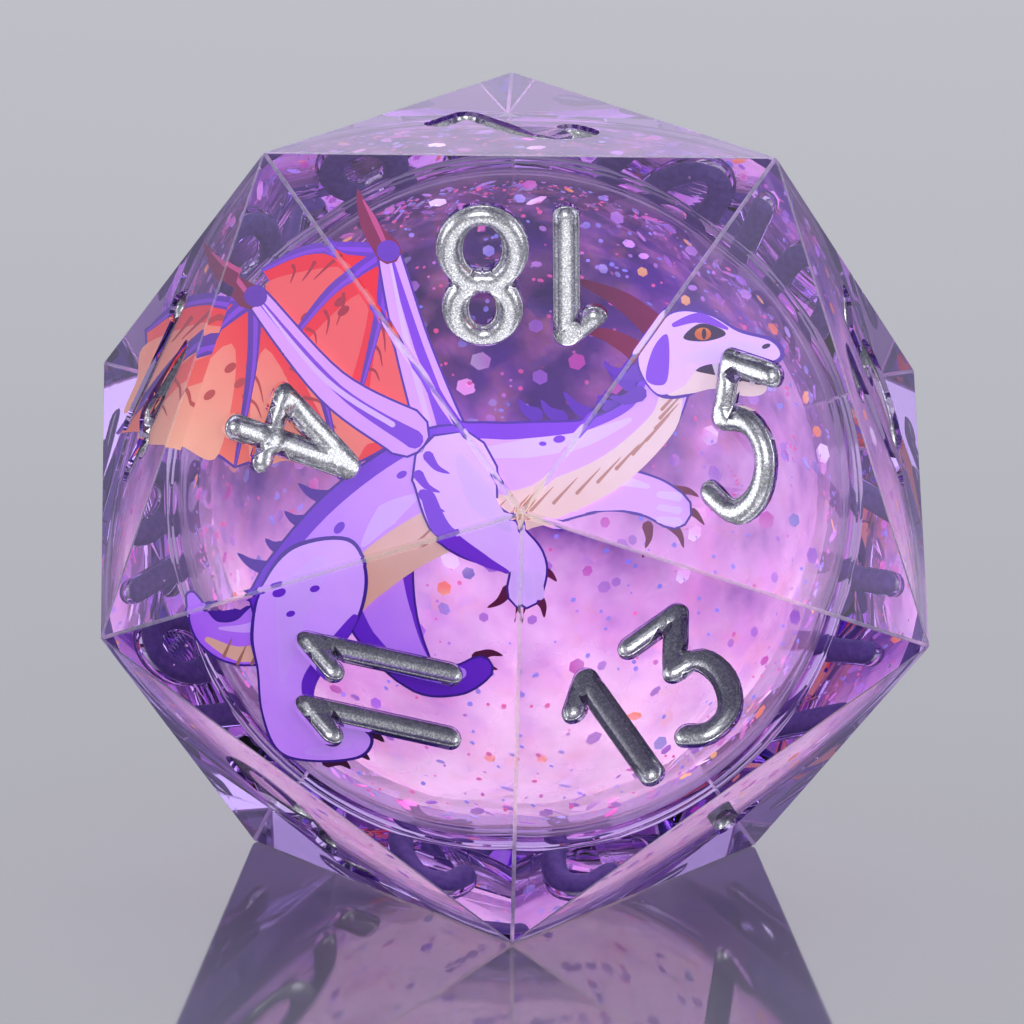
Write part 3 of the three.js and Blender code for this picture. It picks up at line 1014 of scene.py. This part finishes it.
def torso():
    neck = (6.4, 6.2, 5.4, 4.0, 3.2, 2.6, 0, 1.9, -3.2, 1.2, -6.6, -1, -9.2, -4)
    girth = (1.0, 1.15, 1.35, 1.85, 2.35, 2.2, 2.1)
    under = (6.4, 4.9, 5.9, 3.6, 3.6, 1.6, 0.2, 0.2, -3.2, -0.7, -6.2, -2.7, -8.2, -5.2)
    flank = (6.5, 6.1, 5.5, 3.8, 3.2, 2.4, 0, 1.5, -3.1, 0.9, -6.4, -1.3, -9.0, -4.2)
    folds = catmull(pairs(*under), SMOOTH_STEPS)[2:32:2]
    foil_piece("foil_torso", "foil_body", "middle", [
        *inked("bone", spines((4.9, 6.6, 4.2, 4.7, 2.4, 4.0, 0.6, 4.1), 6, 1.6, 0.32, (-0.72, 0.66))),
        *inked("bone", spines(
            (-5.2, 2.8, -7.2, 1.4, -9.0, -0.6, -10.6, -2.6), 7, 1.5, 0.34, (-0.86, 0.42))),
        *rimmed("shade", neck, girth),
        brush("body", flank, (0.85, 1.0, 1.15, 1.6, 2.05, 1.9, 1.8)),
        brush("cream", under, (0.5, 0.62, 0.75, 0.85, 1.0, 0.95, 0.6)),
        *inked("stripe", [spike(at.x - 0.35, at.y - 0.3, 1.0, 1.05, 0.07) for at in folds]),
        brush("light", (4.6, 3.9, 2.6, 3.1, 0.2, 2.7, -2.6, 2.4), (0.1, 0.34, 0.4, 0.1)),
        brush("light", (-4.4, 0.6, -5.6, -0.2, -6.6, -1.5), (0.12, 0.5, 0.1)),
        *spots(0.6, (1.6, 3.1, 0.26, 10), (0.9, 2.9, 0.16, 0), (-7.6, -0.8, 0.3, 50), (-7.2, -1.6, 0.2, 50),
               (-8.6, -2.1, 0.3, 50), (-5.0, 1.5, 0.24, 30), (-8.2, -3.0, 0.18, 40)),
    ])


def tail():
    stem = (-9.2, -4.4, -11.4, -5.7, -13, -5.4, -13.8, -3.9)
    foil_piece("foil_tail", "foil_body", "back", [
        *inked("bone", spines((-10.0, -3.4, -11.4, -4.5, -12.6, -4.7), 5, 1.3, 0.3, (-0.95, 0.25))),
        *rimmed("body", stem, (1.7, 1.05, 0.6, 0.2)),
        brush("cream", (-9.6, -5.7, -11.6, -6.3, -13.1, -5.7), (0.4, 0.34, 0.12)),
        *inked("stripe", [spike(x, y, 0.35, 0.8, 0.07) for x, y in (
            (-10.0, -6.2), (-10.6, -6.5), (-11.2, -6.7), (-11.8, -6.7), (-12.4, -6.4))]),
        brush("light", (-9.8, -4.2, -11.2, -5.1, -12.6, -5.2), (0.1, 0.22, 0.05)),
    ])


def head():
    foil_piece("foil_head", "foil_limb", "front", [
        brush("horn", (5.9, 7.6, 4.3, 8.9, 2.3, 9.8), (0.6, 0.4, 0.06)),
        brush("claw", (5.2, 6.6, 3.8, 7.4, 2.4, 7.7), (0.5, 0.3, 0.05)),
        ("bone", spike(5.0, 5.9, -1.5, 0.3, 0.4, 0.2)),
        ("bone", spike(5.0, 5.0, -1.3, -0.1, 0.34, 0.2)),
        ("rim", blob(
            4.9, 6.2, 5.2, 7.5, 6.5, 8.5, 8.0, 8.4, 9.4, 7.7, 10.9, 7.3, 11.3, 6.6, 10.6, 6.05,
            9.3, 5.95, 8.2, 5.6, 7.2, 4.9, 5.8, 4.9)),
        ("cream", blob(
            6.2, 5.0, 7.2, 5.0, 8.3, 5.2, 9.5, 4.9, 10.3, 4.95, 10.5, 5.35, 9.6, 5.75, 8.2, 6.1, 6.8, 6.1)),
        ("dark", blob(7.4, 6.0, 8.4, 5.75, 9.6, 5.5, 10.4, 5.4, 10.9, 6.2, 9.6, 6.3, 8.4, 6.3)),
        *inked("tooth", [spike(x, 6.25, 0.05, -0.55, 0.14) for x in (8.3, 8.9, 9.5, 10.1, 10.6)]),
        *inked("tooth", [spike(x, y, 0.05, 0.42, 0.11) for x, y in ((8.7, 5.65), (9.3, 5.55), (9.9, 5.45))]),
        ("limb", blob(
            5.0, 6.2, 5.3, 7.4, 6.5, 8.4, 8.0, 8.3, 9.3, 7.6, 10.7, 7.2, 11.1, 6.6, 10.4, 6.3,
            8.8, 6.3, 7.6, 6.1, 6.9, 5.3, 5.8, 5.0)),
        ("light", blob(6.9, 6.5, 7.9, 7.0, 9.2, 7.2, 10.4, 6.95, 10.2, 6.6, 8.8, 6.55, 7.6, 6.3)),
        ("shade", blob(5.3, 5.6, 5.6, 6.9, 6.2, 7.5, 6.3, 6.3, 6.1, 5.4)),
        ("dark", blob(6.9, 7.35, 7.6, 7.95, 8.5, 7.75, 8.7, 7.45, 7.8, 7.2)),
        ("iris", spot(7.75, 7.52, 0.36, 0.27)),
        ("dark", spot(7.8, 7.52, 0.1, 0.24)),
        brush("shade", (6.5, 7.9, 7.6, 8.2, 8.8, 7.75), (0.1, 0.22, 0.06)),
        ("dark", spot(10.5, 7.0, 0.2, 0.1, 20)),
    ])


def forelegs():
    near = (-2.8, 1.6, -2.3, -0.3, -0.6, -1.4, 0.3, -2.2, 0.2, -3.3)
    foil_piece("foil_foreleg_near", "foil_limb", "front", [
        *claws(0.26, (-0.5, -3.3, -0.85, -0.75, 0.12), (0.1, -3.6, -0.3, -1.05, 0.12),
               (0.7, -3.5, 0.35, -0.95, 0.12), (0.8, -2.4, 0.75, -0.5, 0.1)),
        *rimmed("limb", near, (1.75, 1.45, 1.0, 0.75, 0.7)),
        brush("shade", (-3.9, 0.6, -3.2, -0.9, -1.6, -2.0, -0.5, -2.5), (0.3, 0.4, 0.25, 0.05)),
        brush("light", (-2.6, 2.2, -1.7, 0.6, -0.5, -0.7), (0.2, 0.6, 0.12)),
        *inked("shade", [
            spike(x, y, 0.9, -0.7, 0.22, -0.15) for x, y in ((-4.3, 1.5), (-3.9, 2.3), (-4.1, 0.7))]),
        *inked("light", [taper((x, -2.6, x + 0.1, -3.5), (0.16, 0.2)) for x in (-0.25, 0.3, 0.75)]),
    ])
    far = (1.0, 0.5, 3.4, 1.0, 5.4, 0.7, 6.5, 0.1)
    foil_piece("foil_foreleg_far", "foil_limb", "back", [
        *claws(0.24, (6.6, 0.9, 1.0, -0.25, 0.12), (6.9, 0.2, 0.95, -0.75, 0.12),
               (6.4, -0.5, 0.55, -1.0, 0.12), (5.4, -0.6, -0.1, -0.9, 0.1)),
        *rimmed("body", far, (0.95, 0.9, 0.8, 0.75)),
        brush("light", (1.6, 0.9, 3.6, 1.4, 5.4, 1.1), (0.1, 0.28, 0.1)),
        *inked("light", [taper((5.9, y, 6.7, y - 0.1), (0.14, 0.2)) for y in (0.75, 0.2, -0.3)]),
    ])


def hindlegs():
    foil_piece("foil_hindleg_near", "foil_limb", "front", [
        *claws(0.32, *((x, y, 0.95, -0.35, 0.15) for x, y in ((-6.5, -9.6), (-7.1, -10.4), (-7.9, -10.8)))),
        ("rim", blob(
            -7.2, -1.2, -6.4, -2.6, -6.6, -4.4, -7.6, -6.2, -8.5, -7.6, -8.3, -9.0, -6.6, -9.3,
            -6.0, -9.9, -6.6, -10.7, -8.6, -10.9, -10.1, -10.5, -10.8, -8.8, -11.0, -7.0, -11.3, -5.4,
            -10.9, -3.4, -9.6, -1.6)),
        ("limb", blob(
            -7.3, -1.35, -6.55, -2.6, -6.75, -4.4, -7.7, -6.1, -8.6, -7.6, -8.4, -9.1, -6.7, -9.4,
            -6.15, -9.9, -6.7, -10.6, -8.6, -10.8, -10.0, -10.4, -10.7, -8.8, -10.9, -7.0, -11.15, -5.4,
            -10.8, -3.4, -9.5, -1.75)),
        brush("shade", (-6.9, -4.6, -7.9, -6.1, -8.8, -7.5, -8.6, -9.0), (0.15, 0.35, 0.3, 0.1)),
        brush("light", (-8.4, -2.4, -9.4, -3.8, -9.7, -5.6, -9.9, -7.4), (0.4, 0.8, 0.45, 0.1)),
        *spots(0.65, (-10.1, -3.6, 0.3, 20), (-9.6, -4.5, 0.2, 20), (-8.6, -3.4, 0.22, 20)),
        *inked("light", [taper((x, y, x + 0.7, y + 0.1), (0.12, 0.24)) for x, y in (
            (-7.3, -9.6), (-7.9, -10.15), (-8.8, -10.5))]),
    ])
    far = (-6.2, -2.6, -5.6, -4.8, -4.2, -6.9, -2.6, -7.2, -1.6, -6.7)
    foil_piece("foil_hindleg_far", "foil_limb", "back", [
        *claws(0.26, *((x, y, 1.05, 0.1, 0.15) for x, y in ((-1.7, -6.2), (-1.9, -6.8), (-2.5, -7.4)))),
        *rimmed("shade", far, (1.7, 1.35, 0.75, 0.6, 0.5)),
        brush("body", (-6.0, -2.9, -5.3, -4.8, -4.0, -6.6, -2.4, -6.9), (1.1, 0.9, 0.4, 0.25)),
    ])


def picture():
    """A winged beast of plain heraldic type, leaping to the right."""
    torso()
    tail()
    head()
    forelegs()
    hindlegs()
    wing("foil_wing_near", "front", (-4.9, 3.3), (-8, 5.2), (-11.2, 8.9),
         pairs(-15.8, 7.2, -17.0, 2.8, -12.0, 1.7, -7.6, 1.7),
         pairs(-13.8, 9.0, -15.5, 4.8, -14.2, 3.5, -9.7, 2.7, -6.0, 2.3, -7.6, 5.0), (-11.5, 8.9, -1.9, 2.2))
    wing("foil_wing_far", "back", (-3.4, 3.4), (-4.6, 7.0), (-5.6, 10.9),
         pairs(-10.9, 10.0, -10.1, 6.5, -6.9, 4.4),
         pairs(-8.4, 11.7, -9.8, 8.5, -8.4, 6.6, -5.0, 4.4, -4.2, 7.0), (-5.6, 10.9, -1.3, 2.6))


def shifted(point, x, y):
    return Vector(point) + Vector((x, y))


def wing(node, layer, shoulder, elbow, wrist, ends, bends, thumb):
    """A bat-like wing: arm, long curved fingers, webs with paler panels between them and a wrist claw."""
    hub, root = Vector(wrist), Vector(shoulder)
    skin = web([hub, *ends, root], bends)
    shapes = [("bone", web_rim(skin)), ("membrane", skin)]
    for first, second in zip(ends, ends[1:] + [root]):
        heart = (hub * 0.3 + first + second) / 2.3
        edge = first.lerp(second, 0.5)
        panel = [
            start.lerp(heart, share)
            for start, share in ((hub, 0.35), (first, 0.3), (edge, 0.3), (second, 0.34))
        ]
        shapes.append(("panel", catmull(panel, SMOOTH_STEPS, closed=True)))
        for k in range(3):
            start = hub.lerp(first, 0.42 + 0.17 * k)
            end = start.lerp(heart, 0.45)
            middle = shifted(start.lerp(end, 0.5), 0.12, 0.14)
            shapes.append(brush("vein", (*start, *middle, *end), (0.09, 0.06, 0.02)))
    shapes += [("vein", spot(x, y, 0.3, 0.17, 40)) for x, y in scattered(ends, hub)]
    for k, end in enumerate(ends):
        middle = shifted(hub.lerp(end, 0.5), -0.55 + 0.4 * k, 0.5)
        shapes.append(brush("bone", (*hub, *middle, *end), (0.34, 0.22, 0.06)))
        shapes.append(brush("shade", (*hub, *shifted(middle, 0.08, -0.06), *end), (0.12, 0.07, 0.02)))
    arm = (*shoulder, *elbow, *wrist)
    below = (*shifted(shoulder, 0.4, -0.3), *shifted(elbow, 0.3, -0.15), *wrist)
    above = (*shifted(shoulder, -0.5, 0.3), *shifted(elbow, -0.25, 0.25), *wrist)
    base, reach = Vector(thumb[:2]), Vector(thumb[2:]) * 0.82
    ridge = (*shifted(base, -0.1, 0.2), *shifted(base + reach / 2, -0.05, 0.2), *(base + reach))
    shapes += [
        *rimmed("body", arm, (1.0, 0.7, 0.42)),
        brush("shade", below, (0.4, 0.2, 0.1)),
        brush("light", above, (0.12, 0.12, 0.03)),
        ("claw", spike(*thumb, 0.56, 0.25)),
        brush("ridge", ridge, (0.1, 0.12, 0.03)),
        ("bone", spot(*wrist, 0.5, 0.46)),
    ]
    foil_piece(node, "foil_wing", layer, shapes)


def scattered(ends, hub):
    """Places of the small marks on the web."""
    middle = sum(ends, Vector((0, 0))) / len(ends)
    spread = ((0.55, 0, 0), (0.7, 0.7, 0.2), (0.85, -0.3, 0.5))
    return [shifted(hub.lerp(middle, share), x, y) for share, x, y in spread]


def web_rim(skin):
    """The web's outline, a little larger, which shows as its dark edge."""
    middle = sum(skin, Vector((0, 0))) / len(skin)
    return [point + (point - middle).normalized() * RIM * 1.2 for point in skin]


# ---- stage, light and camera
FLOOR_R = 1.5
FLOOR_DROP = 0.02 * MM
ROOM_STRENGTH = 0.6

# Name, place, width and height, and power
LAMPS = (
    ("top_softbox", (0.0, 0.28, 0.5), (0.4, 0.3), 1.1),
    ("overhead", (0.0, -0.06, 0.6), (0.44, 0.44), 0.45),
    ("back_softbox", (0.0, 0.66, 0.21), (1.1, 0.3), 0.8),
    ("right_softbox", (0.5, -0.1, 0.185), (0.3, 0.3), 0.5),
    ("left_softbox", (-0.5, -0.1, 0.185), (0.3, 0.3), 0.4),
    ("front_fill", (0.1, -0.8, 0.3), (0.5, 0.4), 1.9),
)

CAMERA_AZIMUTH = math.radians(-1.2)
CAMERA_ELEVATION = math.radians(12.1)
CAMERA_ROLL = math.radians(0.8)
CAMERA_DISTANCE = 0.8
CAMERA_DROP = 0.4 * MM
FRAME_WIDTH = 44.1 * MM
SENSOR_WIDTH = 36


def stage():
    nodes = Nodes("floor_pale")
    tone = nodes.ramp(nodes.noise(6.0, 2.0), [(0.3, "74767d"), (0.7, "7e8087")])
    gloss = {"Roughness": 0.05, "Specular IOR Level": 0.36}
    bm = bmesh.new()
    bmesh.ops.create_circle(bm, cap_ends=True, segments=96, radius=FLOOR_R)
    floor = from_bmesh("floor", bm, nodes.done(nodes.surface(tone, **gloss)))
    floor.location.z = -FLOOR_DROP
    if floor.data.polygons[0].normal.z < 0:
        floor.data.flip_normals()


# Colours of the surroundings from straight down to straight up
VIOLET_ROOM = ((0.0, "1c0c40"), (0.5, "2c165c"), (0.6, "44308a"), (0.74, "6a5ca4"), (1.0, "bcb2d8"))
PALE_ROOM = ((0.0, "b4b4c0"), (0.5, "dcdce6"), (0.74, "e4e4ec"), (1.0, "f4f2f6"))


def studio():
    """A pale room, and a violet one for the light that comes through the resin or falls on matt surfaces."""
    world = bpy.data.worlds.new("studio")
    bpy.context.scene.world = world
    nodes = Nodes(world)
    way = nodes.add("ShaderNodeTexCoord").outputs["Generated"]
    split = nodes.add("ShaderNodeSeparateXYZ", Vector=way)
    height = nodes.add_in_order("ShaderNodeMapRange", split.outputs["Z"], -1.0)
    path = nodes.add("ShaderNodeLightPath").outputs
    clamped = {"use_clamp": True}
    mirrored = nodes.add_in_order(
        "ShaderNodeMath", path["Is Reflection Ray"], path["Is Diffuse Ray"], operation="SUBTRACT", **clamped
    )
    pale = nodes.add_in_order("ShaderNodeMath", mirrored, path["Is Camera Ray"], operation="ADD", **clamped)
    room = nodes.add_in_order(
        "ShaderNodeMixRGB", pale, nodes.ramp(height, VIOLET_ROOM), nodes.ramp(height, PALE_ROOM)
    )
    nodes.done(nodes.add_in_order("ShaderNodeBackground", room, ROOM_STRENGTH), "World")


def lamp(name, place, size, power):
    """A soft rectangular lamp that faces the die."""
    data = bpy.data.lights.new(name, "AREA")
    data.shape = "RECTANGLE"
    data.size, data.size_y = size
    data.energy = power
    made = new_object(name, data)
    made.location = place
    made.rotation_euler = (CENTRE - Vector(place)).to_track_quat("-Z", "Y").to_euler()
    made.visible_camera = False


def camera():
    """A long lens from a little above the front corner."""
    data = bpy.data.cameras.new("camera")
    back = Vector((
        math.sin(CAMERA_AZIMUTH) * math.cos(CAMERA_ELEVATION),
        -math.cos(CAMERA_AZIMUTH) * math.cos(CAMERA_ELEVATION),
        math.sin(CAMERA_ELEVATION),
    ))
    made = new_object("camera", data)
    made.location = CENTRE - UP * CAMERA_DROP + back * CAMERA_DISTANCE
    look = (-back).to_track_quat("-Z", "Y")
    made.rotation_euler = (look.to_matrix() @ Matrix.Rotation(CAMERA_ROLL, 3, "Z")).to_euler()
    data.sensor_width = SENSOR_WIDTH
    data.lens = SENSOR_WIDTH * CAMERA_DISTANCE / FRAME_WIDTH
    data.clip_start = 0.01
    data.clip_end = 20
    bpy.context.scene.camera = made


# ---- the whole die
# Name, count, least and greatest width in mm, two tones, glow, number of CAD flakes shown, and top
GLITTER = (
    ("pink", 84, 0.4, 0.85, "f070d0", "f8a8e4", 0.45, 2, False),
    ("bright", 26, 0.75, 1.0, "ffc0f0", "ffffff", 0.9, 2, False),
    ("gold", 34, 0.35, 0.85, "ff9a5e", "ffd27a", 0.8, 2, False),
    ("blue", 110, 0.3, 0.7, "a6b0f0", "cfd8ff", 0.4, 2, True),
    ("lilac", 180, 0.35, 0.8, "c892f0", "e6bcfb", 0.4, 1, False),
    ("dust", 1300, 0.1, 0.28, "ff7ab0", "9fb0ff", 0.6, 1, True),
)
MAX_BOUNCES = 24


def glitter():
    shown = 0
    for seed, row in enumerate(GLITTER, 1):
        name, count, smallest, largest, first, second, glow, cad_flakes, top = row
        nodes = [f"glitter_flake_{shown + k + 1}" for k in range(cad_flakes)]
        shown += cad_flakes
        material = flake_material(f"flake_{name}", first, second, glow)
        flakes(f"glitter_{name}", count, seed, smallest, largest, material, nodes, top)


def main():
    camera()
    stage()
    studio()
    for row in LAMPS:
        lamp(*row)
    resin_body(
        resin_material("clear_resin", "ebe0fa", "e8e4ee"),
        resin_edge_material(),
        # The bottom face's glass is tinted dark violet: painted shade under the die; its dark shadow tint
        # also keeps lamp light off the floor beneath
        resin_material("clear_resin_base", "7458b4", "2c1a58"),
    )
    paints = paint_material(), paint_back_material()
    for number, letters in FACES.items():
        numeral(number, letters, *paints)
    ball_shell(inner_glass("ball_shell", SHELL_IOR, "fdf9fe", "faf5fa", 60.0))
    liquid_ball(liquid_material(0.12, 0.34, 0.3))
    cloud("haze_core", 10.4 * MM, 0.03, 1.6, 3, haze_material("haze_core", 0.9, 1.0, 120.0, 0.72))
    cloud("haze_veil", 11.15 * MM, 0.012, 2.0, 5, haze_material("haze_veil", 0.15, 0.6, 90.0, 0.55))
    glitter()
    mix_inks()
    picture()
    bubbles(inner_glass("resin_bubble", AIR_IOR, "ffffff", "ffffff", 60.0))


main()
scene = bpy.context.scene
scene.view_settings.view_transform = "Standard"
scene.cycles.max_bounces = MAX_BOUNCES
scene.cycles.transmission_bounces = MAX_BOUNCES
scene.cycles.transparent_max_bounces = MAX_BOUNCES
